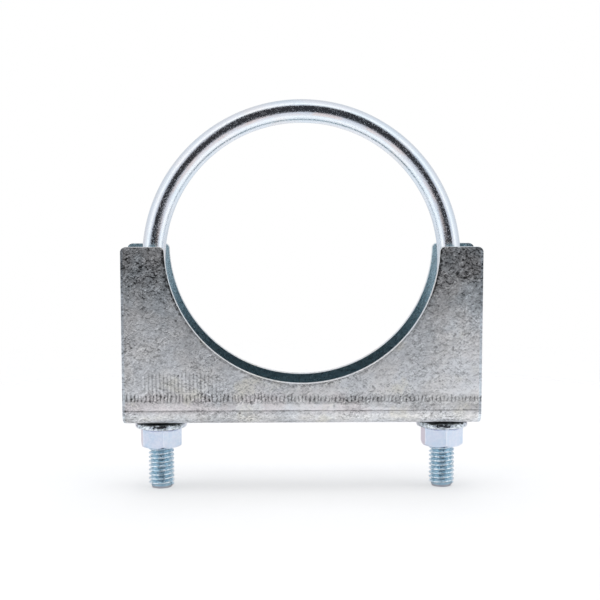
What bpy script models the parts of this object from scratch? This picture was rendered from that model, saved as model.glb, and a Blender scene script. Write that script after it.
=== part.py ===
"""Heavy-duty exhaust U-bolt clamp: a bent and threaded rod, a pressed saddle and two hex flange nuts.

Metres, +Z up. The origin is the centre of the pipe that the loop holds, on the rod's mid-plane.
+Y runs along the pipe, and the loop's two threaded legs point down, along -Z.
Run with: blender --background --python part.py
"""

from math import atan2, cos, pi, radians, sin, sqrt

import bmesh
import bpy

# U-bolt: 3/8-16 UNC rolled thread on a rod of the thread's pitch diameter.
LOOP_INSIDE_RADIUS = 0.0500
ROD_RADIUS = 0.00425
LOOP_RADIUS = LOOP_INSIDE_RADIUS + ROD_RADIUS
LEG_X = 0.0523  # half the distance between the two parallel threaded legs
LEG_END_Z = -0.0846
LEG_BEND_Z = -0.0445  # above this height a leg leans out to meet the loop
THREAD_PITCH = 0.0015875
THREAD_MAJOR_RADIUS = 0.00474
THREAD_MINOR_RADIUS = 0.00383
THREAD_TOP_Z = -0.0475
THREAD_RUNOUT = 1.5 * THREAD_PITCH
FIRST_ROW_RISE = 0.1 * THREAD_PITCH  # from a leg's end up to the start of the thread's helix
POINT_RADIUS = 0.00363  # flat at the bottom of each leg, inside a 45 degree chamfer

# Saddle: one channel pressed from sheet, with a scoop for the pipe in both flanges.
SADDLE_HALF_LENGTH = 0.0650
SADDLE_HALF_DEPTH = 0.0130
SADDLE_TOP_Z = 0.0055
SADDLE_BOTTOM_Z = -0.0590
SHEET = 0.0030
BEND_OUTER_RADIUS = 0.0050
SCOOP_RADIUS = 0.0495
SCOOP_CENTRE_Z = 0.0055
HORN_CORNER_RADIUS = 0.0018
FOOT_CORNER_RADIUS = 0.0014
LEG_HOLE_RADIUS = 0.0056

# Hex flange nut, 9/16 in across flats.
NUT_ACROSS_FLATS = 0.01429
NUT_HEIGHT = 0.0096
FLANGE_RADIUS = 0.0095
FLANGE_RIM = 0.0025
FLANGE_CONE = 0.0009
NUT_BORE_RADIUS = 0.00495
BORE_CHAMFER = 0.0005
CORNER_CHAMFER = 0.0011  # height of the turned chamfer under the hexagon's corners
CORNER_CHAMFER_DEPTH = 0.0014
END_FACE_INSET = 0.0002  # the nut's end face is this much smaller than the hexagon's inscribed circle
SEAT_GAP = 0.0003
LEFT_NUT_TURN = radians(11.0)
RIGHT_NUT_TURN = radians(5.0)

# Mesh resolution.
ROD_SIDES = 16
ARCH_STEPS = 44
LEG_STEPS = 4
ROWS_PER_PITCH = 4
NUT_SIDES = 48
SCOOP_STEPS = 48
CORNER_STEPS = 6
BEND_STEPS = 8
HOLE_SIDES = 32
CUTTER_OVERRUN = 0.005

EAST, NORTH, WEST = (1, 0, 0), (0, 1, 0), (-1, 0, 0)


def clear_scene():
    for obj in list(bpy.data.objects):
        bpy.data.objects.remove(obj, do_unlink=True)


def steel(name, colour, roughness):
    material = bpy.data.materials.new(name)
    material.use_nodes = True
    shader = material.node_tree.nodes["Principled BSDF"]
    shader.inputs["Base Color"].default_value = (*colour, 1.0)
    shader.inputs["Metallic"].default_value = 1.0
    shader.inputs["Roughness"].default_value = roughness
    return material


def add_object(name, bm, material=None, smooth_angle=30):
    """Turns the bmesh into a linked object with outward normals."""
    bmesh.ops.recalc_face_normals(bm, faces=bm.faces)
    mesh = bpy.data.meshes.new(name)
    bm.to_mesh(mesh)
    bm.free()
    mesh.shade_smooth()
    mesh.set_sharp_from_angle(angle=radians(smooth_angle))
    if material:
        mesh.materials.append(material)
    obj = bpy.data.objects.new(name, mesh)
    bpy.context.scene.collection.objects.link(obj)
    return obj


def add_axis(name, location, parent=None):
    """An empty on a joint's axis."""
    empty = bpy.data.objects.new(name, None)
    bpy.context.scene.collection.objects.link(empty)
    empty.empty_display_size = 0.01
    empty.parent = parent
    empty.location = location
    return empty


def join_rings(bm, lower, upper):
    """Faces between two rings of the same number of vertices."""
    count = len(lower)
    for i in range(count):
        after = (i + 1) % count
        bm.faces.new((lower[i], lower[after], upper[after], upper[i]))


def ring(bm, centre, across, along, radius, sides):
    """A circle of vertices round a centre, in the plane of two unit vectors."""
    vertices = []
    for i in range(sides):
        angle = 2 * pi * i / sides
        offset = [radius * (cos(angle) * a + sin(angle) * b) for a, b in zip(across, along)]
        vertices.append(bm.verts.new([c + o for c, o in zip(centre, offset)]))
    return vertices


# ---------------------------------------------------------------- U-bolt


def thread_radius(row, height):
    """Radius of the rolled thread on one of its helical rows, cut back at the point and at the run-out."""
    on_crest = row % ROWS_PER_PITCH in (1, 2)
    radius = THREAD_MAJOR_RADIUS if on_crest else THREAD_MINOR_RADIUS
    fade = min(1.0, max(0.0, (THREAD_TOP_Z - height) / THREAD_RUNOUT))
    radius = ROD_RADIUS + (radius - ROD_RADIUS) * fade
    point = POINT_RADIUS + max(0.0, height - LEG_END_Z)
    return min(radius, point)


def threaded_leg(bm, x):
    """A right-hand thread from the point up to the run-out. Returns the plain ring on top of it."""
    step = THREAD_PITCH / ROWS_PER_PITCH
    first_z = LEG_END_Z + FIRST_ROW_RISE
    turns = round((THREAD_TOP_Z - first_z) / THREAD_PITCH)
    rows = ROWS_PER_PITCH * turns
    grid = []
    for row in range(rows + 1):
        line = []
        for i in range(ROD_SIDES):
            angle = 2 * pi * i / ROD_SIDES
            z = first_z + row * step + THREAD_PITCH * i / ROD_SIDES
            radius = thread_radius(row, z)
            line.append(bm.verts.new((x + radius * cos(angle), radius * sin(angle), z)))
        grid.append(line)
    for low, high in zip(grid, grid[1:]):
        for i in range(ROD_SIDES - 1):
            bm.faces.new((low[i], low[i + 1], high[i + 1], high[i]))
    # The last column meets the first one a whole pitch higher up.
    for row in range(rows - ROWS_PER_PITCH):
        seam, above = grid[row + ROWS_PER_PITCH][0], grid[row + ROWS_PER_PITCH + 1][0]
        bm.faces.new((grid[row][-1], seam, above, grid[row + 1][-1]))

    point = ring(bm, (x, 0, LEG_END_Z), EAST, NORTH, POINT_RADIUS, ROD_SIDES)
    for i in range(ROD_SIDES - 1):
        bm.faces.new((point[i], point[i + 1], grid[0][i + 1], grid[0][i]))
    corner = grid[0][-1]
    bm.faces.new((point[-1], point[0], corner))
    bm.faces.new((point[0], grid[0][0], corner))
    for row in range(ROWS_PER_PITCH):
        bm.faces.new((grid[row][0], grid[row + 1][0], corner))
    bm.faces.new(list(reversed(point)))

    top_z = first_z + (rows + ROWS_PER_PITCH + 1) * step
    top = ring(bm, (x, 0, top_z), EAST, NORTH, ROD_RADIUS, ROD_SIDES)
    for i in range(ROD_SIDES - 1):
        bm.faces.new((grid[-1][i], grid[-1][i + 1], top[i + 1], top[i]))
    corner = grid[-1][0]
    bm.faces.new((top[-1], corner, top[0]))
    bm.faces.new((grid[-1][-1], corner, top[-1]))
    start = rows - ROWS_PER_PITCH
    for row in range(ROWS_PER_PITCH):
        bm.faces.new((grid[start + row][-1], corner, grid[start + row + 1][-1]))
    return top


def arch_frames():
    """Centre and in-plane direction of each cross-section from the left leg, over the loop, to the right."""
    # The leg is tangent to the loop: it leans out in a straight line from its bend to the end of the arc.
    lean = leg_lean()
    frames = []
    join_x, join_z = LOOP_RADIUS * cos(lean), -LOOP_RADIUS * sin(lean)
    for i in range(1, LEG_STEPS):
        share = i / LEG_STEPS
        x = -(LEG_X + (join_x - LEG_X) * share)
        z = LEG_BEND_Z + (join_z - LEG_BEND_Z) * share
        frames.append((x, z, (cos(lean), sin(lean))))
    for i in range(ARCH_STEPS + 1):
        angle = pi + lean - (pi + 2 * lean) * i / ARCH_STEPS
        frames.append((LOOP_RADIUS * cos(angle), LOOP_RADIUS * sin(angle), (-cos(angle), -sin(angle))))
    for x, z, (across_x, across_z) in reversed(frames[: LEG_STEPS - 1]):
        frames.append((-x, z, (-across_x, across_z)))
    return frames


def leg_lean():
    """Angle from vertical of the straight run between the bend and the loop."""
    lean = 0.0
    for _ in range(20):
        drop = -LOOP_RADIUS * sin(lean) - LEG_BEND_Z
        lean = (LOOP_RADIUS * cos(lean) - LEG_X) / drop
    return lean


def make_u_bolt(material):
    bm = bmesh.new()
    left = threaded_leg(bm, -LEG_X)
    right = threaded_leg(bm, LEG_X)
    last = left
    bend = ring(bm, (-LEG_X, 0, LEG_BEND_Z), EAST, NORTH, ROD_RADIUS, ROD_SIDES)
    join_rings(bm, last, bend)
    last = bend
    for x, z, (across_x, across_z) in arch_frames():
        here = ring(bm, (x, 0, z), (across_x, 0, across_z), NORTH, ROD_RADIUS, ROD_SIDES)
        join_rings(bm, last, here)
        last = here
    bend = ring(bm, (LEG_X, 0, LEG_BEND_Z), WEST, NORTH, ROD_RADIUS, ROD_SIDES)
    join_rings(bm, last, bend)
    # The leg's own ring starts at +X and the swept ones start at -X.
    mirrored = [right[(ROD_SIDES // 2 - i) % ROD_SIDES] for i in range(ROD_SIDES)]
    join_rings(bm, bend, mirrored)
    return add_object("u_bolt", bm, material, 40)


# ---------------------------------------------------------------- saddle


def arc(centre_a, centre_b, radius, start, end, steps):
    """Points along an arc in a plane, both ends included."""
    points = []
    for i in range(steps + 1):
        angle = start + (end - start) * i / steps
        points.append((centre_a + radius * cos(angle), centre_b + radius * sin(angle)))
    return points


def prism(points, low, high, to_3d):
    """An outline extruded between two values of the third coordinate."""
    bm = bmesh.new()
    near = [bm.verts.new(to_3d(a, b, low)) for a, b in points]
    far = [bm.verts.new(to_3d(a, b, high)) for a, b in points]
    bm.faces.new(near)
    bm.faces.new(far)
    join_rings(bm, near, far)
    return bm


def channel_outline():
    """The bent sheet's cross-section across the pipe direction: two flanges and the web."""
    depth, low = SADDLE_HALF_DEPTH, SADDLE_BOTTOM_Z
    top = SADDLE_TOP_Z + CUTTER_OVERRUN
    outer, inner = BEND_OUTER_RADIUS, BEND_OUTER_RADIUS - SHEET
    centre_y, centre_z = depth - outer, low + outer
    points = [(-depth, top)]
    points += arc(-centre_y, centre_z, outer, pi, 1.5 * pi, BEND_STEPS)
    points += arc(centre_y, centre_z, outer, -0.5 * pi, 0.0, BEND_STEPS)
    points += [(depth, top), (depth - SHEET, top)]
    points += arc(centre_y, centre_z, inner, 0.0, -0.5 * pi, BEND_STEPS)
    points += arc(-centre_y, centre_z, inner, 1.5 * pi, pi, BEND_STEPS)
    points += [(-depth + SHEET, top)]
    return points


def flange_outline():
    """The saddle seen along the pipe: square feet, round-cornered horns and the scoop between them."""
    half, top, low = SADDLE_HALF_LENGTH, SADDLE_TOP_Z, SADDLE_BOTTOM_Z
    corner, foot = HORN_CORNER_RADIUS, FOOT_CORNER_RADIUS
    # The horn's inner corner is an arc that touches the top edge and the scoop.
    inner_x = sqrt((SCOOP_RADIUS + corner) ** 2 - (SCOOP_CENTRE_Z - top + corner) ** 2)
    touch = atan2(top - corner - SCOOP_CENTRE_Z, inner_x)
    right = arc(half - foot, low + foot, foot, -0.5 * pi, 0.0, CORNER_STEPS)
    right += arc(half - corner, top - corner, corner, 0.0, 0.5 * pi, CORNER_STEPS)
    right += arc(inner_x, top - corner, corner, 0.5 * pi, pi + touch, CORNER_STEPS)
    scoop = arc(0.0, SCOOP_CENTRE_Z, SCOOP_RADIUS, touch, -pi - touch, SCOOP_STEPS)
    left = [(-x, z) for x, z in reversed(right)]
    return right + scoop[1:-1] + left


def hide_helper(obj):
    obj.hide_render = True
    obj.display_type = "WIRE"


def add_boolean(obj, helper, operation):
    modifier = obj.modifiers.new(helper.name, "BOOLEAN")
    modifier.operation = operation
    modifier.solver = "EXACT"
    modifier.object = helper


def make_saddle(material):
    reach = SADDLE_HALF_LENGTH + CUTTER_OVERRUN
    channel = prism(channel_outline(), -reach, reach, lambda y, z, x: (x, y, z))
    saddle = add_object("saddle", channel, material)
    reach = SADDLE_HALF_DEPTH + CUTTER_OVERRUN
    outline = prism(flange_outline(), -reach, reach, lambda x, z, y: (x, y, z))
    blank = add_object("saddle_outline", outline)
    holes = bmesh.new()
    for side in (-1, 1):
        centre = (side * LEG_X, 0, SADDLE_BOTTOM_Z - CUTTER_OVERRUN)
        low = ring(holes, centre, EAST, NORTH, LEG_HOLE_RADIUS, HOLE_SIDES)
        centre = (side * LEG_X, 0, SADDLE_BOTTOM_Z + SHEET + CUTTER_OVERRUN)
        high = ring(holes, centre, EAST, NORTH, LEG_HOLE_RADIUS, HOLE_SIDES)
        join_rings(holes, low, high)
        holes.faces.new(low)
        holes.faces.new(high)
    drill = add_object("leg_holes", holes)
    for helper, operation in ((blank, "INTERSECT"), (drill, "DIFFERENCE")):
        hide_helper(helper)
        add_boolean(saddle, helper, operation)
    return saddle


# ---------------------------------------------------------------- nuts


def hex_radius(angle):
    """Distance from the axis to a hexagon's side, with a flat facing angle 0."""
    from_flat = (angle + pi / 6) % (pi / 3) - pi / 6
    return NUT_ACROSS_FLATS / 2 / cos(from_flat)


def nut_radius(angle, drop):
    """Outer radius at a depth below the flange's seat: flange rim, its cone, then the chamfered hexagon."""
    if drop <= FLANGE_RIM:
        return FLANGE_RADIUS
    inscribed = NUT_ACROSS_FLATS / 2
    chamfer = inscribed - END_FACE_INSET + (NUT_HEIGHT - drop) * CORNER_CHAMFER_DEPTH / CORNER_CHAMFER
    cone_share = min(1.0, (drop - FLANGE_RIM) / FLANGE_CONE)
    cone = FLANGE_RADIUS - cone_share * (FLANGE_RADIUS - inscribed)
    return max(min(hex_radius(angle), chamfer), cone)


def make_nut(name, turn, material):
    bm = bmesh.new()
    drops = [0.0, FLANGE_RIM]
    drops += [FLANGE_RIM + FLANGE_CONE * share for share in (0.3, 0.55, 0.8, 1.0)]
    drops += [NUT_HEIGHT - CORNER_CHAMFER * share for share in (1.0, 0.75, 0.5, 0.25, 0.0)]
    rings = []
    for drop in drops:
        line = []
        for i in range(NUT_SIDES):
            angle = 2 * pi * i / NUT_SIDES
            radius = nut_radius(angle, drop)
            at = angle + turn
            line.append(bm.verts.new((radius * cos(at), radius * sin(at), -drop)))
        rings.append(line)
    bore = [(NUT_HEIGHT, NUT_BORE_RADIUS + BORE_CHAMFER), (NUT_HEIGHT - BORE_CHAMFER, NUT_BORE_RADIUS)]
    bore += [(BORE_CHAMFER, NUT_BORE_RADIUS), (0.0, NUT_BORE_RADIUS + BORE_CHAMFER)]
    east, north = (cos(turn), sin(turn), 0), (-sin(turn), cos(turn), 0)
    for drop, radius in bore:
        rings.append(ring(bm, (0, 0, -drop), east, north, radius, NUT_SIDES))
    for lower, upper in zip(rings, rings[1:] + rings[:1]):
        join_rings(bm, lower, upper)
    return add_object(name, bm, material, 25)


# ---------------------------------------------------------------- assembly


def main():
    clear_scene()
    bright_zinc = steel("bright_zinc", (0.78, 0.81, 0.88), 0.16)
    galvanised = steel("galvanised", (0.55, 0.56, 0.58), 0.42)

    clamp = add_axis("clamp", (0, 0, 0))
    u_bolt = make_u_bolt(bright_zinc)
    u_bolt.parent = clamp

    # The saddle slides along Z, and each nut turns about its leg while it carries the saddle.
    slide = add_axis("saddle_slide_axis", (0, 0, 0), clamp)
    saddle = make_saddle(galvanised)
    saddle.parent = slide
    seat_z = SADDLE_BOTTOM_Z - SEAT_GAP
    for name, side, turn in (
        ("left_flange_nut", -1, LEFT_NUT_TURN),
        ("right_flange_nut", 1, RIGHT_NUT_TURN),
    ):
        axis = add_axis(name + "_axis", (side * LEG_X, 0, seat_z), slide)
        nut = make_nut(name, turn, bright_zinc)
        nut.parent = axis


main()
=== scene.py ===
"""Exhaust U-bolt saddle clamp: the looks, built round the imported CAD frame. Metres, +Z up."""

from math import atan2, cos, pi, radians, sin, sqrt

import bmesh
import bpy
from mathutils import Matrix, Vector


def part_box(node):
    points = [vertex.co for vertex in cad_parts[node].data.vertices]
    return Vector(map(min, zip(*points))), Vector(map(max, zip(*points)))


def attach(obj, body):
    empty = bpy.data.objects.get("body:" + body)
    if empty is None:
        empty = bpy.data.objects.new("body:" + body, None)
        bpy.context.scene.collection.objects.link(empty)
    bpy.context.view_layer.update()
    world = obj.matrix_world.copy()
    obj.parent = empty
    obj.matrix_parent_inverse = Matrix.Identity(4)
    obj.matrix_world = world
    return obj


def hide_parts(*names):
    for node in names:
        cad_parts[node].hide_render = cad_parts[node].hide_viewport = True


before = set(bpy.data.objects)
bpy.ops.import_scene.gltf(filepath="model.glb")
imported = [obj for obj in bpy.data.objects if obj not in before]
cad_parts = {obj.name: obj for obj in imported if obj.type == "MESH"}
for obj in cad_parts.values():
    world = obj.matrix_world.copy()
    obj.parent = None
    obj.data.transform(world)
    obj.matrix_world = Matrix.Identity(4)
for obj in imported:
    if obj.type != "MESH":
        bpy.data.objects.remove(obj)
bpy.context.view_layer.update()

MM = 0.001
EAST, NORTH = Vector((1, 0, 0)), Vector((0, 1, 0))

# ------------------------------------------------------------------ sizes, from the frame where it has them

BOLT_LOW, BOLT_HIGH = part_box("u_bolt")
SADDLE_LOW, SADDLE_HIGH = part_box("saddle")
LEFT_LOW, LEFT_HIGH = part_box("left_flange_nut")
RIGHT_LOW, RIGHT_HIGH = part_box("right_flange_nut")

LEG_X = (RIGHT_LOW[0] + RIGHT_HIGH[0]) / 2
LEG_END_Z = BOLT_LOW[2]
ROD_RADIUS = 4.25 * MM
LOOP_RADIUS = BOLT_HIGH[2] - ROD_RADIUS
LEG_BEND_Z = -44.5 * MM
THREAD_PITCH = 1.5875 * MM
THREAD_MAJOR_RADIUS = 4.73 * MM
THREAD_MINOR_RADIUS = 3.85 * MM
THREAD_TOP_Z = -47.5 * MM
THREAD_RUNOUT = 1.5 * THREAD_PITCH
FIRST_ROW_RISE = 0.1 * THREAD_PITCH
POINT_RADIUS = 3.63 * MM
POINT_DISH_RADIUS = 0.8 * POINT_RADIUS
POINT_DISH_DEPTH = 0.25 * MM

SHEET = 3.0 * MM
BEND_OUTER_RADIUS = 5.0 * MM
SCOOP_RADIUS = 49.5 * MM
SCOOP_CENTRE_Z = SADDLE_HIGH[2]
HORN_CORNER_RADIUS = 1.8 * MM
FOOT_CORNER_RADIUS = 1.4 * MM
LEG_HOLE_RADIUS = 5.6 * MM
CREASE_DEPTH = 0.07 * MM
CREASE_HALF_WIDTH = 0.35 * MM
CREASE_MID_Z = SADDLE_LOW[2] + BEND_OUTER_RADIUS + 0.45 * MM
EDGE_BREAK = 0.18 * MM
CUT_MARGIN = 5 * MM

NUT_ACROSS_FLATS = 14.29 * MM
NUT_CORNER_RADIUS = NUT_ACROSS_FLATS / sqrt(3) - 0.02 * MM
NUT_HEIGHT = LEFT_HIGH[2] - LEFT_LOW[2]
NUT_SEAT_Z = LEFT_HIGH[2]
NUT_CHAMFER_START = 0.10 * MM
NUT_CHAMFER_SLOPE = 1.15
NUT_BORE_RADIUS = 4.95 * MM
LEFT_NUT_TURN = radians(11.0)
RIGHT_NUT_TURN = radians(5.0)
FLANGE_RADIUS = (LEFT_HIGH[0] - LEFT_LOW[0]) / 2
FLANGE_RIM = 2.5 * MM
FLANGE_CONE = 0.9 * MM
FLANGE_CONE_BULGE = 0.125
RIM_TOP_ROUND = 1.7 * MM
RIM_LOW_ROUND = 0.5 * MM

ROD_SIDES = 64
ARCH_STEPS = 220
LEG_STEPS = 30
ROWS_PER_PITCH = 14
NUT_SIDES = 180


# ------------------------------------------------------------------ mesh helpers


def add_piece(name, bm, material, smooth_angle=30):
    bmesh.ops.recalc_face_normals(bm, faces=bm.faces)
    mesh = bpy.data.meshes.new(name)
    bm.to_mesh(mesh)
    bm.free()
    mesh.shade_smooth()
    mesh.set_sharp_from_angle(angle=radians(smooth_angle))
    if material:
        mesh.materials.append(material)
    obj = bpy.data.objects.new(name, mesh)
    bpy.context.scene.collection.objects.link(obj)
    return obj


def ring(bm, centre, across, along, radius, sides):
    vertices = []
    for i in range(sides):
        angle = 2 * pi * i / sides
        vertices.append(bm.verts.new(Vector(centre) + radius * (cos(angle) * across + sin(angle) * along)))
    return vertices


def join_rings(bm, lower, upper):
    count = len(lower)
    for i in range(count):
        after = (i + 1) % count
        bm.faces.new((lower[i], lower[after], upper[after], upper[i]))


def arc(centre_a, centre_b, radius, start, end, steps):
    points = []
    for i in range(steps + 1):
        angle = start + (end - start) * i / steps
        points.append((centre_a + radius * cos(angle), centre_b + radius * sin(angle)))
    return points


def prism(points, reach, to_3d):
    """A closed prism over an outline, from -reach to reach; to_3d turns (a, b, depth) into a place."""
    bm = bmesh.new()
    near = [bm.verts.new(to_3d(a, b, -reach)) for a, b in points]
    far = [bm.verts.new(to_3d(a, b, reach)) for a, b in points]
    bm.faces.new(near)
    bm.faces.new(far)
    join_rings(bm, near, far)
    return bm


def smoothstep(low, high, value):
    share = min(1.0, max(0.0, (value - low) / (high - low)))
    return share * share * (3 - 2 * share)


# ------------------------------------------------------------------ U-bolt


def thread_profile(share):
    """Height of the rolled thread above its root, 0 to 1, with rounded crest and root; 0.5 is the crest."""
    away = abs(share % 1.0 - 0.5) * 2
    # The mean of a smooth wave and a profile with straight flanks.
    return 1.0 - smoothstep(0.10, 0.90, away) * 0.5 - 0.5 * min(1.0, max(0.0, (away - 0.16) / 0.66))


def thread_radius(share, height):
    radius = THREAD_MINOR_RADIUS + (THREAD_MAJOR_RADIUS - THREAD_MINOR_RADIUS) * thread_profile(share)
    fade = smoothstep(0.0, 1.0, (THREAD_TOP_Z - height) / THREAD_RUNOUT)
    radius = ROD_RADIUS + (radius - ROD_RADIUS) * fade
    point = POINT_RADIUS + max(0.0, height - LEG_END_Z)
    return min(radius, point)


def threaded_leg(name, x, material):
    """A right-hand thread from the leg's chamfered point up to the run-out inside the saddle."""
    bm = bmesh.new()
    step = THREAD_PITCH / ROWS_PER_PITCH
    first_z = LEG_END_Z + FIRST_ROW_RISE
    turns = round((THREAD_TOP_Z - first_z) / THREAD_PITCH)
    rows = ROWS_PER_PITCH * turns
    grid = []
    for row in range(rows + 1):
        line = []
        for i in range(ROD_SIDES):
            angle = 2 * pi * i / ROD_SIDES
            z = first_z + row * step + THREAD_PITCH * i / ROD_SIDES
            radius = thread_radius(row / ROWS_PER_PITCH, z)
            line.append(bm.verts.new((x + radius * cos(angle), radius * sin(angle), z)))
        grid.append(line)
    for low, high in zip(grid, grid[1:]):
        for i in range(ROD_SIDES - 1):
            bm.faces.new((low[i], low[i + 1], high[i + 1], high[i]))
    # The last column meets the first one a whole pitch higher up.
    for row in range(rows - ROWS_PER_PITCH):
        seam, above = grid[row + ROWS_PER_PITCH][0], grid[row + ROWS_PER_PITCH + 1][0]
        bm.faces.new((grid[row][-1], seam, above, grid[row + 1][-1]))

    # The point below, with a shallow dish in its end.
    point = ring(bm, (x, 0, LEG_END_Z), EAST, NORTH, POINT_RADIUS, ROD_SIDES)
    for i in range(ROD_SIDES - 1):
        bm.faces.new((point[i], point[i + 1], grid[0][i + 1], grid[0][i]))
    corner = grid[0][-1]
    bm.faces.new((point[-1], point[0], corner))
    bm.faces.new((point[0], grid[0][0], corner))
    for row in range(ROWS_PER_PITCH):
        bm.faces.new((grid[row][0], grid[row + 1][0], corner))
    dish = ring(bm, (x, 0, LEG_END_Z + POINT_DISH_DEPTH), EAST, NORTH, POINT_DISH_RADIUS, ROD_SIDES)
    join_rings(bm, dish, point)
    bm.faces.new(list(reversed(dish)))

    # The flat top, hidden against the smooth rod.
    top_z = first_z + (rows + ROWS_PER_PITCH + 1) * step
    top = ring(bm, (x, 0, top_z), EAST, NORTH, ROD_RADIUS, ROD_SIDES)
    for i in range(ROD_SIDES - 1):
        bm.faces.new((grid[-1][i], grid[-1][i + 1], top[i + 1], top[i]))
    corner = grid[-1][0]
    bm.faces.new((top[-1], corner, top[0]))
    bm.faces.new((grid[-1][-1], corner, top[-1]))
    start = rows - ROWS_PER_PITCH
    for row in range(ROWS_PER_PITCH):
        bm.faces.new((grid[start + row][-1], corner, grid[start + row + 1][-1]))
    bm.faces.new(top)
    return add_piece(name, bm, material, 60)


def leg_lean():
    """Angle from vertical of the straight run between the bend and the loop, found by iteration."""
    lean = 0.0
    for _ in range(20):
        drop = -LOOP_RADIUS * sin(lean) - LEG_BEND_Z
        lean = (LOOP_RADIUS * cos(lean) - LEG_X) / drop
    return lean


def rod_path():
    """Each cross-section's x, z and direction across, from the left thread over the loop to the right."""
    lean = leg_lean()
    join_x, join_z = LOOP_RADIUS * cos(lean), -LOOP_RADIUS * sin(lean)
    thread_top = LEG_END_Z + (round((THREAD_TOP_Z - LEG_END_Z) / THREAD_PITCH) + 1) * THREAD_PITCH
    leg = [(-LEG_X, thread_top, (1, 0))]
    for i in range(LEG_STEPS):
        share = i / LEG_STEPS
        x = -(LEG_X + (join_x - LEG_X) * share)
        leg.append((x, LEG_BEND_Z + (join_z - LEG_BEND_Z) * share, (cos(lean), sin(lean))))
    path = list(leg)
    for i in range(ARCH_STEPS + 1):
        angle = pi + lean - (pi + 2 * lean) * i / ARCH_STEPS
        path.append((LOOP_RADIUS * cos(angle), LOOP_RADIUS * sin(angle), (-cos(angle), -sin(angle))))
    path += [(-x, z, (-across[0], across[1])) for x, z, across in reversed(leg)]
    return path


def bent_rod(material):
    """The smooth rod. Its attribute unbent holds each point's place on the straight bar before bending."""
    bm = bmesh.new()
    unbent = bm.verts.layers.float_vector.new("unbent")
    last, travelled, before = None, 0.0, None
    for x, z, (across_x, across_z) in rod_path():
        centre = Vector((x, 0, z))
        travelled += (centre - before).length if before else 0.0
        before = centre
        here = ring(bm, centre, Vector((across_x, 0, across_z)), NORTH, ROD_RADIUS, ROD_SIDES)
        for i, vertex in enumerate(here):
            angle = 2 * pi * i / ROD_SIDES
            vertex[unbent] = Vector((ROD_RADIUS * cos(angle), ROD_RADIUS * sin(angle), travelled))
        if last:
            join_rings(bm, last, here)
        else:
            bm.faces.new(list(reversed(here)))
        last = here
    bm.faces.new(last)
    return add_piece("bent_rod", bm, material, 60)


# ------------------------------------------------------------------ saddle


def channel_outline():
    """The bent sheet across the pipe direction, with the press tool's crease above each bend."""
    depth, low, top = SADDLE_HIGH[1], SADDLE_LOW[2], SADDLE_HIGH[2] + CUT_MARGIN
    outer, inner = BEND_OUTER_RADIUS, BEND_OUTER_RADIUS - SHEET
    centre_y, centre_z = depth - outer, low + outer
    crease = []
    for share in (-1, -0.5, 0, 0.5, 1):
        crease.append((CREASE_HALF_WIDTH * share, CREASE_DEPTH * (1 - abs(share)) ** 0.7))
    points = [(-depth, top)]
    points += [(-depth + cut, CREASE_MID_Z - rise) for rise, cut in crease]
    points += arc(-centre_y, centre_z, outer, pi, 1.5 * pi, 24)
    points += arc(centre_y, centre_z, outer, -0.5 * pi, 0.0, 24)
    points += [(depth - cut, CREASE_MID_Z + rise) for rise, cut in crease]
    points += [(depth, top), (depth - SHEET, top)]
    points += arc(centre_y, centre_z, inner, 0.0, -0.5 * pi, 12)
    points += arc(-centre_y, centre_z, inner, 1.5 * pi, pi, 12)
    points += [(-depth + SHEET, top)]
    return points


def flange_outline():
    """The saddle seen along the pipe: rounded feet and horns, and the scoop between the horns."""
    half, top, low = SADDLE_HIGH[0], SADDLE_HIGH[2], SADDLE_LOW[2]
    corner, foot = HORN_CORNER_RADIUS, FOOT_CORNER_RADIUS
    inner_x = sqrt((SCOOP_RADIUS + corner) ** 2 - (SCOOP_CENTRE_Z - top + corner) ** 2)
    touch = atan2(top - corner - SCOOP_CENTRE_Z, inner_x)
    right = arc(half - foot, low + foot, foot, -0.5 * pi, 0.0, 8)
    right += arc(half - corner, top - corner, corner, 0.0, 0.5 * pi, 12)
    right += arc(inner_x, top - corner, corner, 0.5 * pi, pi + touch, 12)
    scoop = arc(0.0, SCOOP_CENTRE_Z, SCOOP_RADIUS, touch, -pi - touch, 160)
    left = [(-x, z) for x, z in reversed(right)]
    return right + scoop[1:-1] + left


def apply_modifiers(obj):
    """Puts the modifiers' result into the mesh, so that no helper object is needed afterwards."""
    graph = bpy.context.evaluated_depsgraph_get()
    mesh = bpy.data.meshes.new_from_object(obj.evaluated_get(graph))
    obj.modifiers.clear()
    obj.data = mesh


def pressed_saddle(material):
    """The channel, cut to the flange's outline and drilled, with its edges slightly broken."""
    channel = prism(channel_outline(), SADDLE_HIGH[0] + CUT_MARGIN, lambda y, z, x: (x, y, z))
    saddle = add_piece("pressed_saddle", channel, material)
    outline = prism(flange_outline(), SADDLE_HIGH[1] + CUT_MARGIN, lambda x, z, y: (x, y, z))
    blank = add_piece("blank", outline, None)
    holes = bmesh.new()
    for x in (-LEG_X, LEG_X):
        low = ring(holes, (x, 0, SADDLE_LOW[2] - CUT_MARGIN), EAST, NORTH, LEG_HOLE_RADIUS, 64)
        high = ring(holes, (x, 0, SADDLE_LOW[2] + SHEET + CUT_MARGIN), EAST, NORTH, LEG_HOLE_RADIUS, 64)
        join_rings(holes, low, high)
        holes.faces.new(low)
        holes.faces.new(high)
    drill = add_piece("drill", holes, None)
    for helper, operation in ((blank, "INTERSECT"), (drill, "DIFFERENCE")):
        cut = saddle.modifiers.new(helper.name, "BOOLEAN")
        cut.operation, cut.solver, cut.object = operation, "EXACT", helper
    apply_modifiers(saddle)
    for helper in (blank, drill):
        bpy.data.objects.remove(helper, do_unlink=True)
    bevel = saddle.modifiers.new("edge_break", "BEVEL")
    bevel.width, bevel.segments, bevel.limit_method = EDGE_BREAK, 2, "ANGLE"
    bevel.angle_limit = radians(50)
    bevel.harden_normals = True
    apply_modifiers(saddle)
    saddle.data.materials.clear()
    saddle.data.materials.append(material)
    return saddle


# ------------------------------------------------------------------ nuts


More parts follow.
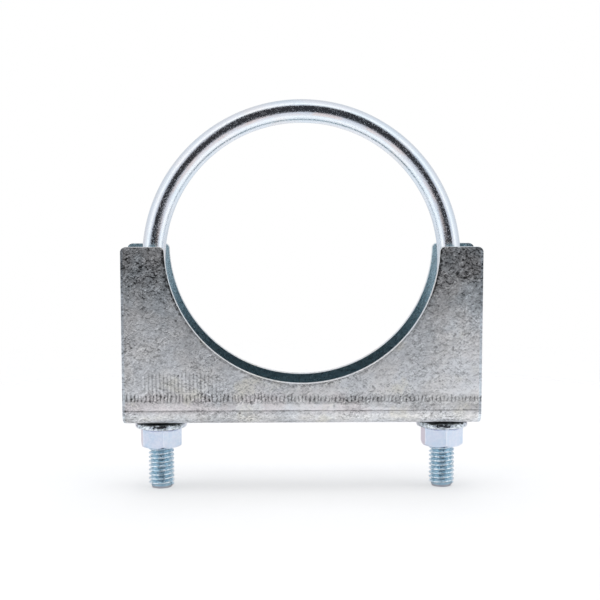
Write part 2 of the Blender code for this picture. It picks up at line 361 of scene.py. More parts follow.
def hex_radius(angle):
    """Distance from the axis to a hexagon's side, its corners just off sharp."""
    from_flat = (angle + pi / 6) % (pi / 3) - pi / 6
    return min(NUT_ACROSS_FLATS / 2 / cos(from_flat), NUT_CORNER_RADIUS)


def rounding(radius, from_edge):
    """How far a rounded edge stands back from the sharp corner, at a distance from that corner."""
    return radius * (1 - sqrt(max(0.0, 1 - (1 - min(1.0, from_edge / radius)) ** 2)))


def nut_radius(angle, drop):
    """The nut's outline at an angle and a distance below its seat: rim, cone, then chamfered hexagon."""
    if drop <= RIM_TOP_ROUND:
        return FLANGE_RADIUS - rounding(RIM_TOP_ROUND, drop)
    if drop <= FLANGE_RIM:
        return FLANGE_RADIUS - rounding(RIM_LOW_ROUND, FLANGE_RIM - drop)
    inscribed = NUT_ACROSS_FLATS / 2
    chamfer = inscribed + NUT_CHAMFER_START + (NUT_HEIGHT - drop) * NUT_CHAMFER_SLOPE
    share = min(1.0, (drop - FLANGE_RIM) / FLANGE_CONE)
    cone_top = FLANGE_RADIUS - RIM_LOW_ROUND
    cone = cone_top - (cone_top - inscribed) * (share + FLANGE_CONE_BULGE * sin(pi * share))
    return max(min(hex_radius(angle), chamfer), cone)


def nut_drops():
    """How far below the seat each ring of points lies, closer together where the outline curves."""
    drops = [RIM_TOP_ROUND * (1 - cos(pi / 2 * step / 8)) for step in range(9)]
    drops += [FLANGE_RIM - RIM_LOW_ROUND * step / 4 for step in range(4, -1, -1)]
    drops += [FLANGE_RIM + FLANGE_CONE * step / 14 for step in range(1, 15)]
    drops += [FLANGE_RIM + FLANGE_CONE + 0.6 * MM, NUT_HEIGHT - 1.6 * MM]
    drops += [NUT_HEIGHT - 1.4 * MM * (1 - step / 14) for step in range(15)]
    return drops


def nut_bore():
    """The bore's (drop, extra radius) from the bottom up: a flared mouth, the plain hole, another flare."""
    low, high = NUT_HEIGHT - 0.6 * MM, 0.6 * MM
    return (
        (NUT_HEIGHT, 0.7 * MM),
        (low, 0.05 * MM),
        (low - 0.1 * MM, 0.0),
        (high, 0.0),
        (0.0, 0.6 * MM),
    )


def flange_nut(name, x, turn, material):
    bm = bmesh.new()
    rings = []
    for drop in nut_drops():
        line = []
        for i in range(NUT_SIDES):
            angle = 2 * pi * i / NUT_SIDES
            radius = nut_radius(angle, drop)
            place = (x + radius * cos(angle + turn), radius * sin(angle + turn), NUT_SEAT_Z - drop)
            line.append(bm.verts.new(place))
        rings.append(line)
    turned = Matrix.Rotation(turn, 3, "Z")
    for drop, flare in nut_bore():
        centre = (x, 0, NUT_SEAT_Z - drop)
        rings.append(ring(bm, centre, turned @ EAST, turned @ NORTH, NUT_BORE_RADIUS + flare, NUT_SIDES))
    for lower, upper in zip(rings, rings[1:] + rings[:1]):
        join_rings(bm, lower, upper)
    return add_piece(name, bm, material, 22)


# ------------------------------------------------------------------ writing node trees


class Nodes:
    """Short ways to write the node tree of a material or of the world as an expression."""

    def __init__(self, owner):
        owner.use_nodes = True
        self.tree = owner.node_tree

    def node(self, kind, inputs=None, **settings):
        made = self.tree.nodes.new(kind)
        for key, value in settings.items():
            setattr(made, key, value)
        for key, value in (inputs or {}).items():
            self.set(made.inputs[key], value)
        return made

    def set(self, socket, value):
        if isinstance(value, bpy.types.NodeSocket):
            self.tree.links.new(value, socket)
        else:
            socket.default_value = value

    # Where a point is, and numbers from it.

    def position(self):
        return self.node("ShaderNodeTexCoord").outputs["Object"]

    def facing(self):
        """The surface normal's x, y and z."""
        return self.split(self.node("ShaderNodeTexCoord").outputs["Normal"])

    def split(self, vector):
        return tuple(self.node("ShaderNodeSeparateXYZ", {0: vector}).outputs)

    def join(self, x, y, z):
        return self.node("ShaderNodeCombineXYZ", {0: x, 1: y, 2: z}).outputs[0]

    def scaled(self, vector, scale):
        return self.node("ShaderNodeVectorMath", {0: vector, 1: scale}, operation="MULTIPLY").outputs[0]

    def length(self, vector):
        return self.node("ShaderNodeVectorMath", {0: vector}, operation="LENGTH").outputs["Value"]

    # Arithmetic.

    def math(self, operation, a, b=0.0):
        return self.node("ShaderNodeMath", {0: a, 1: b}, operation=operation).outputs[0]

    def add(self, a, b):
        return self.math("ADD", a, b)

    def subtract(self, a, b):
        return self.math("SUBTRACT", a, b)

    def multiply(self, a, b):
        return self.math("MULTIPLY", a, b)

    def larger(self, a, b):
        return self.math("MAXIMUM", a, b)

    def absolute(self, a):
        return self.math("ABSOLUTE", a)

    def remap(self, value, low, high, to_low=0.0, to_high=1.0, smooth=True):
        """A step from to_low to to_high while the value goes from low to high, level outside that range."""
        inputs = {"Value": value, "From Min": low, "From Max": high, "To Min": to_low, "To Max": to_high}
        kind = "SMOOTHSTEP" if smooth else "LINEAR"
        return self.node("ShaderNodeMapRange", inputs, interpolation_type=kind).outputs[0]

    def ramp(self, value, low, high, to_low=0.0, to_high=1.0):
        return self.remap(value, low, high, to_low, to_high, smooth=False)

    def band(self, value, rise, fall):
        """1 between two soft steps: up over the pair of values in rise, and down over the pair in fall."""
        return self.multiply(self.remap(value, *rise), self.remap(value, *fall, 1.0, 0.0))

    # Patterns.

    def noise(self, vector, scale, detail=3.0, roughness=0.5, distortion=0.0):
        inputs = {"Vector": vector, "Scale": scale, "Detail": detail, "Roughness": roughness}
        inputs["Distortion"] = distortion
        return self.node("ShaderNodeTexNoise", inputs).outputs["Fac"]

    def noise_vector(self, vector, scale, detail):
        """Three noises in one, as a vector."""
        inputs = {"Vector": vector, "Scale": scale, "Detail": detail}
        return self.node("ShaderNodeTexNoise", inputs).outputs["Color"]

    def cells(self, vector, scale, feature="F1"):
        inputs = {"Vector": vector, "Scale": scale}
        return self.node("ShaderNodeTexVoronoi", inputs, feature=feature).outputs["Distance"]

    # Colour and relief.

    def mix(self, factor, a, b, blend="MIX"):
        made = self.node("ShaderNodeMix", data_type="RGBA", blend_type=blend)
        self.set(made.inputs[0], factor)
        self.set(made.inputs[6], a)
        self.set(made.inputs[7], b)
        return made.outputs[2]

    def shade(self, colour, value):
        """A colour times a grey value."""
        return self.mix(1.0, colour, self.join(value, value, value), "MULTIPLY")

    def bump(self, height, distance, strength):
        inputs = {"Height": height, "Distance": distance, "Strength": strength}
        return self.node("ShaderNodeBump", inputs).outputs[0]


class MaterialNodes(Nodes):
    """The node tree of a new material with a Principled shader."""

    def __init__(self, name):
        self.material = bpy.data.materials.new(name)
        super().__init__(self.material)
        self.shader = self.tree.nodes["Principled BSDF"]

    def finish(self, colour, roughness, normal, metallic=1.0):
        self.set(self.shader.inputs["Base Color"], colour)
        self.set(self.shader.inputs["Roughness"], roughness)
        self.set(self.shader.inputs["Normal"], normal)
        self.set(self.shader.inputs["Metallic"], metallic)
        return self.material


def rgb(r, g, b):
    return (r, g, b, 1.0)


# ------------------------------------------------------------------ zinc

ROD_BLUE = rgb(0.80, 0.885, 0.95)
ROD_PALE = rgb(0.89, 0.91, 0.945)
ROD_REFLECTION_EDGE_TINT = rgb(0.90, 0.78, 0.72)
ROD_WARM = rgb(0.93, 0.87, 0.84)

THREAD_BLUE = rgb(0.50, 0.68, 0.78)
THREAD_PALE = rgb(0.64, 0.79, 0.88)
THREAD_GLINT = rgb(0.92, 0.96, 1.0)
THREAD_DARK_FLECK = rgb(0.26, 0.37, 0.44)
THREAD_ROOT_SHADE = rgb(0.30, 0.47, 0.57)
THREAD_CREST_WEAR_AND_HIGHLIGHT = rgb(0.92, 0.97, 1.0)
THREAD_POINT = rgb(0.44, 0.44, 0.47)

NUT_BLUE = rgb(0.63, 0.73, 0.855)
NUT_PALE = rgb(0.69, 0.74, 0.855)
NUT_FLECK = rgb(0.80, 0.84, 0.90)
# Painted shade, pinkish, on the nut's left-facing sides.
NUT_LEFT_FACE_SHADE = rgb(0.68, 0.62, 0.66)
NUT_GLANCING = rgb(0.86, 0.81, 0.84)
# Painted highlight on the hexagon's corners.
NUT_CORNER_HIGHLIGHT = rgb(0.92, 0.95, 1.0)
FLANGE_PALE = rgb(0.86, 0.92, 0.93)
FLANGE_WORN = rgb(0.22, 0.25, 0.26)
# Painted shade on the flange's top, under the saddle.
FLANGE_SEAT_SHADE = rgb(0.03, 0.035, 0.035)


def zinc_rod():
    """Bright zinc over drawn bar: fine grain, faint lines along the bar, a little blue and warm tint, and a
    painted straw reflection tint.
    """
    n = MaterialNodes("zinc_rod")
    place = n.node("ShaderNodeAttribute", attribute_name="unbent").outputs["Vector"]
    clouds = n.noise(n.scaled(place, (1, 1, 0.35)), 160, 3)
    lines = n.noise(n.scaled(place, (1, 1, 0.05)), 1500, 4, 0.65)
    grain = n.noise(place, 1500, 4, 0.75)
    flecks = n.remap(n.noise(n.scaled(place, (1, 1, 0.7)), 2300, 2, 0.6), 0.52, 0.64)

    tint = n.mix(n.remap(clouds, 0.35, 0.65), ROD_BLUE, ROD_PALE)
    # Painted reflection: a straw-coloured stripe runs just inside the loop's middle line, along the edge of
    # the dark reflected band.
    inward = n.split(place)[0]
    straw = n.band(inward, (-0.1 * MM, 0.7 * MM), (1.2 * MM, 2.0 * MM))
    patches = n.remap(n.noise(n.scaled(place, (1, 1, 0.3)), 300, 3), 0.42, 0.60, 0.2, 0.8)
    tint = n.mix(n.multiply(straw, patches), tint, ROD_REFLECTION_EDGE_TINT)
    warm = n.remap(n.noise(place, 70, 2), 0.52, 0.70, 0.0, 0.5)
    tint = n.mix(warm, tint, ROD_WARM)
    colour = n.shade(tint, n.remap(grain, 0.30, 0.42, 0.75, 1.0))
    rough = n.add(n.remap(grain, 0.3, 0.75, 0.08, 0.15), n.multiply(flecks, 0.24))
    height = n.add(n.multiply(lines, 0.9), grain)
    return n.finish(colour, rough, n.bump(height, 0.035 * MM, 0.9))


def from_leg_axis(n, place):
    """Distance from the nearer leg's axis."""
    x, y, _ = n.split(place)
    return n.length(n.join(n.subtract(n.absolute(x), LEG_X), y, 0.0))


def zinc_thread():
    """Blue zinc in the thread: painted shade in the roots, crests paler from rubbing and a painted
    highlight, painted glints, and a greyer sheared point.
    """
    n = MaterialNodes("zinc_thread")
    place = n.position()
    grain = n.noise(place, 2000, 3, 0.7)
    lumps = n.noise(place, 900, 2, 0.6)
    clouds = n.noise(place, 420, 2)
    tint = n.mix(n.remap(clouds, 0.35, 0.65), THREAD_BLUE, THREAD_PALE)
    # Painted glints: small white flecks.
    painted_glints = n.remap(n.noise(place, 1500, 3, 0.6), 0.52, 0.58)
    tint = n.mix(painted_glints, tint, THREAD_GLINT)
    dark_flecks = n.remap(n.noise(n.scaled(place, (1, 1, 1.6)), 1000, 3, 0.6), 0.44, 0.37)
    tint = n.mix(dark_flecks, tint, THREAD_DARK_FLECK)

    radius = from_leg_axis(n, place)
    # Painted shade in the thread's roots.
    root = n.remap(radius, THREAD_MINOR_RADIUS + 0.3 * MM, THREAD_MINOR_RADIUS, 0.0, 0.8)
    tint = n.mix(root, tint, THREAD_ROOT_SHADE)
    # Rubbed zinc and a painted highlight: the crests are tinted near white.
    crest = n.remap(radius, THREAD_MAJOR_RADIUS - 0.22 * MM, THREAD_MAJOR_RADIUS)
    rubbed = n.multiply(crest, n.remap(n.noise(place, 850, 2), 0.45, 0.56))
    tint = n.mix(rubbed, tint, THREAD_CREST_WEAR_AND_HIGHLIGHT)
    above_end = n.subtract(n.split(place)[2], LEG_END_Z)
    colour = n.mix(n.remap(above_end, 0.5 * MM, 1.1 * MM, 1.0, 0.0), tint, THREAD_POINT)
    rough = n.remap(grain, 0.3, 0.7, 0.05, 0.16)
    height = n.add(lumps, n.multiply(grain, 0.4))
    return n.finish(colour, rough, n.bump(height, 0.22 * MM, 1.0))


def zinc_nut():
    """Bright zinc on a cold-formed nut, dulled and pitted on the flange."""
    n = MaterialNodes("zinc_nut")
    place = n.position()
    drop = n.subtract(NUT_SEAT_Z, n.split(place)[2])
    grain = n.noise(place, 1500, 4, 0.6)
    clouds = n.noise(place, 260, 3)
    dents = n.noise(place, 760, 3, 0.6)
    flange = n.remap(drop, FLANGE_RIM + 0.3 * MM, FLANGE_RIM)

    colour = n.mix(n.remap(clouds, 0.35, 0.65), NUT_BLUE, NUT_PALE)
    flecks = n.remap(n.noise(place, 900, 3, 0.6), 0.45, 0.62, 0.0, 0.45)
    colour = n.mix(flecks, colour, NUT_FLECK)
    # Painted shade: the sides that face left are tinted a darker pink.
    left_face_shade = n.remap(n.facing()[0], -0.80, -0.92, 0.0, 0.85)
    colour = n.mix(left_face_shade, colour, NUT_LEFT_FACE_SHADE)
    colour = n.mix(n.multiply(flange, 0.7), colour, FLANGE_PALE)
    worn = n.multiply(flange, n.remap(n.noise(place, 900, 4, 0.7), 0.47, 0.58))
    colour = n.mix(n.multiply(worn, 0.78), colour, FLANGE_WORN)
    # Painted shade: the flange's top is darkened where it bears on the saddle, for the shadow in the gap
    # and the saddle's dark reflection.
    seat = n.remap(n.subtract(drop, n.remap(dents, 0.3, 0.7, -0.3 * MM, 0.3 * MM)), 1.0 * MM, 0.70 * MM)
    colour = n.mix(n.multiply(seat, 0.9), colour, FLANGE_SEAT_SHADE)
    # Painted highlight: a bright line along the hexagon's corners.
    corner = n.remap(from_leg_axis(n, place), NUT_CORNER_RADIUS - 0.14 * MM, NUT_CORNER_RADIUS - 0.05 * MM)
    hexagon = n.remap(drop, FLANGE_RIM + FLANGE_CONE, FLANGE_RIM + FLANGE_CONE + 0.2 * MM)
    colour = n.mix(n.multiply(n.multiply(corner, hexagon), 0.4), colour, NUT_CORNER_HIGHLIGHT)

    n.shader.inputs["Specular Tint"].default_value = NUT_GLANCING
    rough = n.subtract(n.remap(grain, 0.3, 0.75, 0.10, 0.22), n.multiply(flange, 0.07))
    height = n.add(n.multiply(clouds, 1.5), grain)
    height = n.add(height, n.multiply(n.multiply(flange, dents), 12.0))
    return n.finish(colour, rough, n.bump(height, 0.03 * MM, 0.7))


# ------------------------------------------------------------------ galvanised sheet

BASE_GREY = 0.54
LOW_GREY = 0.84
DARKEST_GREY = 0.045
LIGHTEST_GREY = 0.98
# Cut edges: uncoated metal with a painted highlight.
CUT_EDGE_GREY_WITH_HIGHLIGHT = (0.78, 0.98)
PLAIN_TONE = rgb(0.975, 0.99, 1.0)
HORN_TONE = rgb(0.93, 0.98, 1.0)
CLOUD_TONE = rgb(1.0, 0.985, 0.965)
PINK_TONE = rgb(1.0, 0.945, 0.935)
STRAW_TONE = rgb(0.98, 0.95, 0.85)
END_HIGHLIGHT_TONE = rgb(0.90, 1.0, 1.08)
PASSIVATED = rgb(0.66, 0.88, 0.96)

TICK_SPACING = 1.35 * MM
STROKE_STRETCH = 0.36
# Each pair is a range of heights, or of places along the saddle, where a mark starts, ends or shifts.
HORN_STARTS = (-19 * MM, -6 * MM)
SHADE_HEIGHTS = (-2 * MM, -50 * MM)
TICKS_START = (-50.9 * MM, -49.9 * MM)
TICKS_REACH = (-49.2 * MM, -46.6 * MM)
HAIRLINES_START = (-49 * MM, -46 * MM)
HAIRLINES_END = (-40.4 * MM, -39.4 * MM)
HAIRLINES_LEFT = (-61 * MM, -54 * MM)
HAIRLINES_RIGHT = (-36 * MM, -24 * MM)
RUBBED_LOW_EDGE = (-51.4 * MM, -53.4 * MM)
RUBBED_TOP = (-49.4 * MM, -46.8 * MM)


def strokes(n, place, scale, turn, width, share):
    """Short scratches, mostly along one direction: the borders of small stretched cells, in patches."""
    x, y, z = n.split(place)
    along = n.add(n.multiply(x, cos(turn)), n.multiply(z, sin(turn)))
    across = n.subtract(n.multiply(z, cos(turn)), n.multiply(x, sin(turn)))
    turned = n.join(n.multiply(along, STROKE_STRETCH), y, across)
    shift = n.scaled(n.noise_vector(place, 0.7 * scale, 2), (0.9 / scale, 0.9 / scale, 0.9 / scale))
    warped = n.node("ShaderNodeVectorMath", {0: turned, 1: shift}, operation="ADD").outputs[0]
    lines = n.remap(n.cells(warped, scale, "DISTANCE_TO_EDGE"), 0.2 * width, width, 1.0, 0.0)
    keep = n.remap(n.noise(warped, 1.2 * scale, 2, 0.6), 0.57 - share, 0.63 - share)
    return n.multiply(lines, keep)


def sheet_shade(n, x, z, clouds, horn):
    """The horns are darker; below them painted light makes the sheet lighter down to the bend and a little
    lighter to the right, and painted shade darkens the left end.
    """
    # Painted light: lighter towards the bend.
    value = n.ramp(z, *SHADE_HEIGHTS, BASE_GREY, LOW_GREY)
    value = n.subtract(value, n.multiply(horn, 0.16))
    value = n.add(value, n.ramp(clouds, 0.3, 0.7, -0.11, 0.11))
    # Painted light to the right and painted shade at the left end.
    right_side_light = n.remap(x, -45 * MM, 45 * MM, 0.01, 0.115)
    left_end_shade = n.remap(x, -57 * MM, -64 * MM, 0.0, 0.09)
    side_light_and_shade = n.subtract(right_side_light, left_end_shade)
    return n.add(value, n.multiply(side_light_and_shade, n.remap(z, -12 * MM, -24 * MM)))


def sheet_marks(n, place, mottle, grain, dark_strokes, horn):
    """Mottling, grain, scratches and rolling lines, strong on the horns, calmest just above the crease."""
    x, _, z = n.split(place)
    fine_strokes = strokes(n, place, 1200, radians(-24), 0.22, 0.08)
    pale_strokes = strokes(n, place, 950, radians(42), 0.16, 0.05)
    marks = n.add(n.ramp(mottle, 0.28, 0.72, -0.22, 0.22), n.ramp(grain, 0.3, 0.7, -0.16, 0.16))
    marks = n.subtract(marks, n.multiply(dark_strokes, 0.24))
    marks = n.subtract(marks, n.multiply(fine_strokes, 0.28))
    marks = n.add(marks, n.multiply(pale_strokes, 0.26))

    rolled = n.ramp(n.noise(n.scaled(place, (0.06, 1, 1)), 1100, 2, 0.6), 0.3, 0.7, -0.14, 0.14)
    right_end = n.multiply(n.remap(x, 34 * MM, 46 * MM), n.remap(z, -22 * MM, -30 * MM))
    near_crease = n.band(z, (-55 * MM, -54 * MM), (-51 * MM, -49.5 * MM))
    marks = n.add(marks, n.multiply(rolled, n.larger(right_end, near_crease)))

    calm = n.remap(n.noise(place, 110, 3), 0.40, 0.60, 0.55, 1.0)
    smooth_band = n.band(z, (-54.2 * MM, -53.4 * MM), (-52.0 * MM, -51.0 * MM))
    calm = n.multiply(calm, n.remap(smooth_band, 0, 1, 1.0, 0.65))
    marks = n.multiply(marks, n.larger(calm, horn))
    blots = n.remap(n.noise(place, 300, 4, 0.7, 0.8), 0.50, 0.60)
    return n.subtract(marks, n.multiply(n.multiply(horn, blots), 0.05))


def die_scratches(n, x, z, edge):
    """A row of short upright ticks above each bend, and a patch of taller hairlines on the left."""

    def streaks(rate_x, rate_z, detail=2, roughness=0.5):
        """Noise that changes at one rate along the saddle and at another one up it."""
        return n.noise(n.join(n.multiply(x, rate_x), 0.0, n.multiply(z, rate_z)), 1.0, detail, roughness)

    straight = n.add(n.multiply(x, 2 * pi / TICK_SPACING), n.multiply(streaks(260, 60), 4))
    slanted = n.add(straight, n.multiply(streaks(300, 260), 11))
    strength = n.remap(streaks(420, 160, 3, 0.7), 0.26, 0.45)

    row_top = n.ramp(streaks(640, 0, 3, 0.7), 0.25, 0.75, *TICKS_REACH)
    row_top = n.add(row_top, n.remap(x, -20 * MM, 10 * MM, 0.5 * MM, -0.4 * MM))
    below_top = n.remap(n.subtract(z, row_top), -0.6 * MM, 0.2 * MM, 1.0, 0.0)
    row = n.multiply(below_top, n.remap(z, *TICKS_START))
    ticks = n.multiply(n.multiply(n.remap(n.math("SINE", slanted), 0.0, 0.8), strength), row)

    ragged_z = n.add(z, n.multiply(edge, 0.15))
    tall = n.multiply(n.remap(z, *HAIRLINES_START), n.remap(ragged_z, *HAIRLINES_END, 1.0, 0.0))
    tall = n.multiply(tall, n.band(x, HAIRLINES_LEFT, HAIRLINES_RIGHT))
    hairlines = n.multiply(n.remap(n.math("SINE", straight), 0.0, 0.8), strength)
    return n.larger(ticks, n.multiply(n.multiply(tall, hairlines), 0.65))


def rubbed_band(n, x, z):
    """How much darker the die has rubbed the sheet round the row of ticks, more so on the right."""
    low_edge = n.remap(x, 15 * MM, 40 * MM, *RUBBED_LOW_EDGE)
    rubbed = n.remap(n.subtract(z, low_edge), -0.6 * MM, 0.6 * MM)
    rubbed = n.multiply(rubbed, n.remap(z, *RUBBED_TOP, 1.0, 0.0))
    return n.multiply(rubbed, n.remap(x, -5 * MM, 8 * MM, 0.12, 0.25))


def pits_and_crease_shade(n, place, mottle):
    """How much darker the pits, the painted shade line in the crease and the sheet below the crease are."""
    z = n.split(place)[2]
    pits = n.remap(n.cells(place, 330), 0.12, 0.20, 1.0, 0.0)
    pits = n.multiply(pits, n.remap(n.noise(place, 300, 1), 0.54, 0.60))
    # Painted shade along the crease.
    off_crease = n.add(n.absolute(n.subtract(z, CREASE_MID_Z)), n.remap(mottle, 0.3, 0.7, 0.0, 0.5 * MM))
    crease_shade = n.remap(off_crease, 0.10 * MM, 0.55 * MM, 1.0, 0.0)
    crease_shade = n.multiply(crease_shade, n.remap(n.noise(n.scaled(place, (1, 1, 0.1)), 90, 2), 0.42, 0.58, 0.1, 1.0))
    below = n.remap(z, CREASE_MID_Z, CREASE_MID_Z - 1.5 * MM)
    dark = n.add(n.multiply(pits, 0.30), n.multiply(crease_shade, 0.28))
    return n.add(dark, n.multiply(below, 0.13))


def scoop_edge_darkening(n, x, z, clouds, mottle):
    """How much darker the sheet is in a thin band along the scoop's edge."""
    outward = n.length(n.join(x, 0.0, n.subtract(z, SCOOP_CENTRE_Z)))
    outward = n.add(outward, n.remap(mottle, 0.3, 0.7, -0.4 * MM, 0.4 * MM))
    darker_band = n.remap(outward, SCOOP_RADIUS + 0.3 * MM, SCOOP_RADIUS + 1.2 * MM, 1.0, 0.0)
    return n.multiply(darker_band, n.remap(clouds, 0.40, 0.60, 0.18, 0.36))


def sheared_edges(n, z):
    """1 on the cut edges of the sheet, above the bend and at its two ends."""
    facing_x, facing_y, _ = n.facing()
    upper = n.multiply(n.remap(n.absolute(facing_y), 0.90, 0.75), n.remap(z, -52 * MM, -51 * MM))
    return n.larger(upper, n.remap(n.absolute(facing_x), 0.30, 0.60))


def sheet_tone(n, place, ragged):
    """The zinc's slight tints: cool on the horns, straw and pink lower down, and a painted bluish highlight
    along the two ends.
    """
    x, _, z = n.split(place)
    cool = n.mix(n.remap(ragged, -30 * MM, -8 * MM), PLAIN_TONE, HORN_TONE)
    tone = n.mix(n.remap(n.noise(place, 90, 3), 0.35, 0.65), cool, CLOUD_TONE)
    pink = n.band(z, (-56 * MM, -53 * MM), (-50 * MM, -45 * MM))
    pink = n.multiply(pink, n.remap(n.noise(place, 130, 3), 0.38, 0.60))
    pink = n.multiply(pink, n.remap(x, 34 * MM, 20 * MM))
    tone = n.mix(n.multiply(pink, 0.85), tone, PINK_TONE)
    stain = n.multiply(n.remap(n.noise(place, 75, 4), 0.56, 0.70), n.remap(z, -20 * MM, -30 * MM))
    tone = n.mix(n.multiply(stain, 0.75), tone, STRAW_TONE)
    # Painted highlight: a bluish tint on the last millimetre at each end.
    rim = n.remap(n.absolute(x), SADDLE_HIGH[0] - 1.2 * MM, SADDLE_HIGH[0] - 0.6 * MM)
    return n.mix(n.multiply(rim, 0.6), tone, END_HIGHLIGHT_TONE)


def inside_channel(n, y, z):
    """1 on the channel's inner side and on the innermost part of its cut edges."""
    inner_face = SADDLE_HIGH[1] - SHEET
    within = n.remap(n.absolute(y), inner_face + 0.4 * MM, inner_face - 0.1 * MM)
    return n.multiply(within, n.remap(z, SADDLE_LOW[2] + 1.2 * MM, SADDLE_LOW[2] + 1.6 * MM))


def galvanised():
    """Galvanised sheet marked by the press: dark crazing on the horns, die scratches above the bends."""
    n = MaterialNodes("galvanised")
    place = n.position()
    x, y, z = n.split(place)
    clouds = n.noise(place, 80, 4, 0.55)
    mottle = n.noise(place, 600, 5, 0.75, 0.5)
    grain = n.noise(place, 1700, 3, 0.7)
    dark_strokes = strokes(n, place, 860, radians(35), 0.17, 0.06)
    edge = n.ramp(n.noise(place, 190, 3), 0.3, 0.7, -6 * MM, 6 * MM)
    ragged = n.add(z, edge)
    horn = n.remap(ragged, *HORN_STARTS)

    value = sheet_shade(n, x, z, clouds, horn)
    value = n.add(value, sheet_marks(n, place, mottle, grain, dark_strokes, horn))
    scratches = die_scratches(n, x, z, edge)
    value = n.subtract(value, n.multiply(scratches, 0.38))
    value = n.subtract(value, rubbed_band(n, x, z))
    value = n.subtract(value, pits_and_crease_shade(n, place, mottle))
    value = n.subtract(value, scoop_edge_darkening(n, x, z, clouds, mottle))
    # The cut edges are bright: partly uncoated metal, partly a painted highlight where they catch the
    # light.
    sheared = sheared_edges(n, z)
    edge_grey_and_highlight = n.remap(n.noise(place, 850, 3), 0.42, 0.52, *CUT_EDGE_GREY_WITH_HIGHLIGHT)
    value = n.add(value, n.multiply(sheared, n.subtract(edge_grey_and_highlight, value)))
    value = n.math("MINIMUM", n.larger(value, DARKEST_GREY), LIGHTEST_GREY)
    colour = n.shade(sheet_tone(n, place, ragged), value)

    # Inside the channel the sheet keeps its blue-green passivation, with painted shade that is darkest at
    # the bottom and lighter towards the top.
    inside = inside_channel(n, y, z)
    ragged_z = n.add(z, n.remap(mottle, 0.3, 0.7, -3 * MM, 3 * MM))
    passivated_in_shade = n.shade(PASSIVATED, n.remap(ragged_z, -44 * MM, -4 * MM, 0.52, 0.66))
    colour = n.mix(inside, colour, passivated_in_shade)

    rough = n.add(n.ramp(mottle, 0.3, 0.7, 0.38, 0.52), n.multiply(sheared, 0.15))
    rough = n.subtract(rough, n.multiply(inside, 0.18))
    height = n.add(mottle, n.multiply(grain, 0.5))
    height = n.subtract(height, n.multiply(n.larger(scratches, dark_strokes), 0.5))
    return n.finish(colour, rough, n.bump(height, 0.10 * MM, 0.8))


# ------------------------------------------------------------------ stage, light and camera

CAMERA_PLACE = Vector((-8.2, -469.7, 33.9)) * MM
CAMERA_YAW = radians(1.3)
CAMERA_PITCH = radians(5.92)
LENS = 76.8
SHIFT_X = -0.014

FLOOR_Z = LEG_END_Z
FLOOR_INNER_RADIUS = 0.2
FLOOR_FADE = (0.16, 0.42)
FLOOR_SOLID = 0.45

# The dark opening behind the camera, by azimuth and elevation.
DARK_HALF_WIDTH = radians(37)
DARK_BOTTOM = radians(-10.5)
DARK_TOP = radians(56)
DARK_BLUR = radians(3)
DARK_LIGHT = (0.035, 0.035, 0.04)
# The room's light by angle from its axis, which points behind the camera.
ROOM_AXIS = Vector((0, -cos(radians(8)), sin(radians(8))))
ROOM = (
    (45, (0.70, 0.73, 0.81)),
    (57, (0.92, 0.94, 0.97)),
    (63, (1.17, 1.18, 1.19)),
    (72, (1.12, 1.13, 1.14)),
    (80, (0.90, 0.91, 0.94)),
    (96, (0.84, 0.86, 0.91)),
    (112, (0.72, 0.74, 0.78)),
    (180, (0.70, 0.72, 0.76)),
)
BACKDROP = 1.0
OVERHEAD_POWER = 3.0
OVERHEAD_SIZE = 0.8
OVERHEAD_HEIGHT = 0.7


def make_floor():
    """A pale disc whose rim fades into the backdrop."""
    bm = bmesh.new()
    inner = ring(bm, (0, 0, FLOOR_Z), EAST, NORTH, FLOOR_INNER_RADIUS, 96)
    outer = ring(bm, (0, 0, FLOOR_Z), EAST, NORTH, FLOOR_FADE[1], 96)
    bm.faces.new(inner)
    join_rings(bm, inner, outer)
    n = MaterialNodes("floor_paint")
    place = n.position()
    fine = n.noise(place, 60, 3)
    paint = n.mix(fine, rgb(0.94, 0.94, 0.95), rgb(0.96, 0.96, 0.96))
    from_middle = n.length(n.scaled(place, (1, 1, 0)))
    n.set(n.shader.inputs["Alpha"], n.remap(from_middle, *FLOOR_FADE, FLOOR_SOLID, 0.0))
    n.shader.inputs["Specular IOR Level"].default_value = 0.2
    add_piece("floor", bm, n.finish(paint, 0.8, n.bump(fine, 0.01 * MM, 0.1), 0.0))


def dark_opening(n, direction):
    """1 inside the rectangular opening, seen from the object, with soft borders."""
    east, north, up = n.split(direction)
    azimuth = n.absolute(n.math("ARCTAN2", east, n.multiply(north, -1.0)))
    elevation = n.math("ARCSINE", up)
    dark = n.remap(azimuth, DARK_HALF_WIDTH - DARK_BLUR, DARK_HALF_WIDTH + DARK_BLUR, 1.0, 0.0)
    bottom = (DARK_BOTTOM - DARK_BLUR, DARK_BOTTOM + DARK_BLUR)
    top = (DARK_TOP - DARK_BLUR, DARK_TOP + DARK_BLUR)
    return n.multiply(dark, n.band(elevation, bottom, top))


def room_light(n, direction):
    """The room's brightness by angle from its axis."""
    inputs = {0: direction, 1: ROOM_AXIS}
    ahead = n.node("ShaderNodeVectorMath", inputs, operation="DOT_PRODUCT").outputs["Value"]
    ramp = n.node("ShaderNodeValToRGB", {"Fac": n.math("DIVIDE", n.math("ARCCOSINE", ahead), pi)})
    stops = ramp.color_ramp.elements
    for angle, _ in ROOM[1:-1]:
        stops.new(angle / 180)
    for stop, (angle, light) in zip(stops, ROOM):
        stop.position, stop.color = angle / 180, rgb(*light)
    return ramp.outputs["Color"]


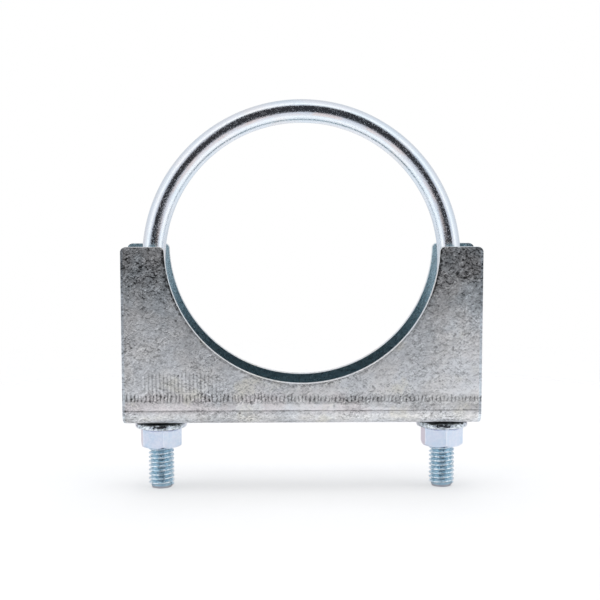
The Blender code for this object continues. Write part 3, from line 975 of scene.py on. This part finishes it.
def make_world():
    """A bright white room with a dark opening behind the camera, from just below the horizon upward."""
    world = bpy.data.worlds.new("studio")
    bpy.context.scene.world = world
    n = Nodes(world)
    direction = n.node("ShaderNodeTexCoord").outputs["Generated"]
    room = n.mix(dark_opening(n, direction), room_light(n, direction), rgb(*DARK_LIGHT))
    seen = n.node("ShaderNodeLightPath").outputs["Is Camera Ray"]
    background = n.tree.nodes["Background"]
    n.set(background.inputs["Color"], n.mix(seen, room, rgb(BACKDROP, BACKDROP, BACKDROP)))
    background.inputs["Strength"].default_value = 1.0


def add_overhead_lamp():
    """Lights the floor from above. Only matt surfaces see it, so it leaves no highlight on the zinc."""
    lamp = bpy.data.objects.new("overhead", bpy.data.lights.new("overhead", "AREA"))
    bpy.context.scene.collection.objects.link(lamp)
    lamp.data.shape, lamp.data.size, lamp.data.energy = "DISK", OVERHEAD_SIZE, OVERHEAD_POWER
    lamp.location = (0, 0, OVERHEAD_HEIGHT)
    lamp.visible_glossy = False
    lamp.visible_camera = False


def make_camera():
    camera = bpy.data.objects.new("camera", bpy.data.cameras.new("camera"))
    bpy.context.scene.collection.objects.link(camera)
    camera.data.lens = LENS
    camera.data.clip_start, camera.data.clip_end = 0.01, 10
    camera.location = CAMERA_PLACE
    turn = Matrix.Rotation(-CAMERA_YAW, 4, "Z") @ Matrix.Rotation(pi / 2 - CAMERA_PITCH, 4, "X")
    camera.rotation_euler = turn.to_euler()
    camera.data.shift_x = SHIFT_X
    bpy.context.scene.camera = camera


# ------------------------------------------------------------------ assembly


def main():
    make_camera()
    make_floor()
    make_world()
    add_overhead_lamp()
    bpy.context.scene.view_settings.view_transform = "Standard"

    rod = bent_rod(zinc_rod())
    thread = zinc_thread()
    legs = [threaded_leg("left_thread", -LEG_X, thread), threaded_leg("right_thread", LEG_X, thread)]
    for piece in (rod, *legs):
        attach(piece, "u_bolt")
        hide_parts("u_bolt")

    saddle = pressed_saddle(galvanised())
    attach(saddle, "saddle")
    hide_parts("saddle")

    nut_zinc = zinc_nut()
    for name, x, turn, body, node in (
        ("left_hex_nut", -LEG_X, LEFT_NUT_TURN, "left_nut", "left_flange_nut"),
        ("right_hex_nut", LEG_X, RIGHT_NUT_TURN, "right_nut", "right_flange_nut"),
    ):
        nut = flange_nut(name, x, turn, nut_zinc)
        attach(nut, body)
        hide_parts(node)


main()
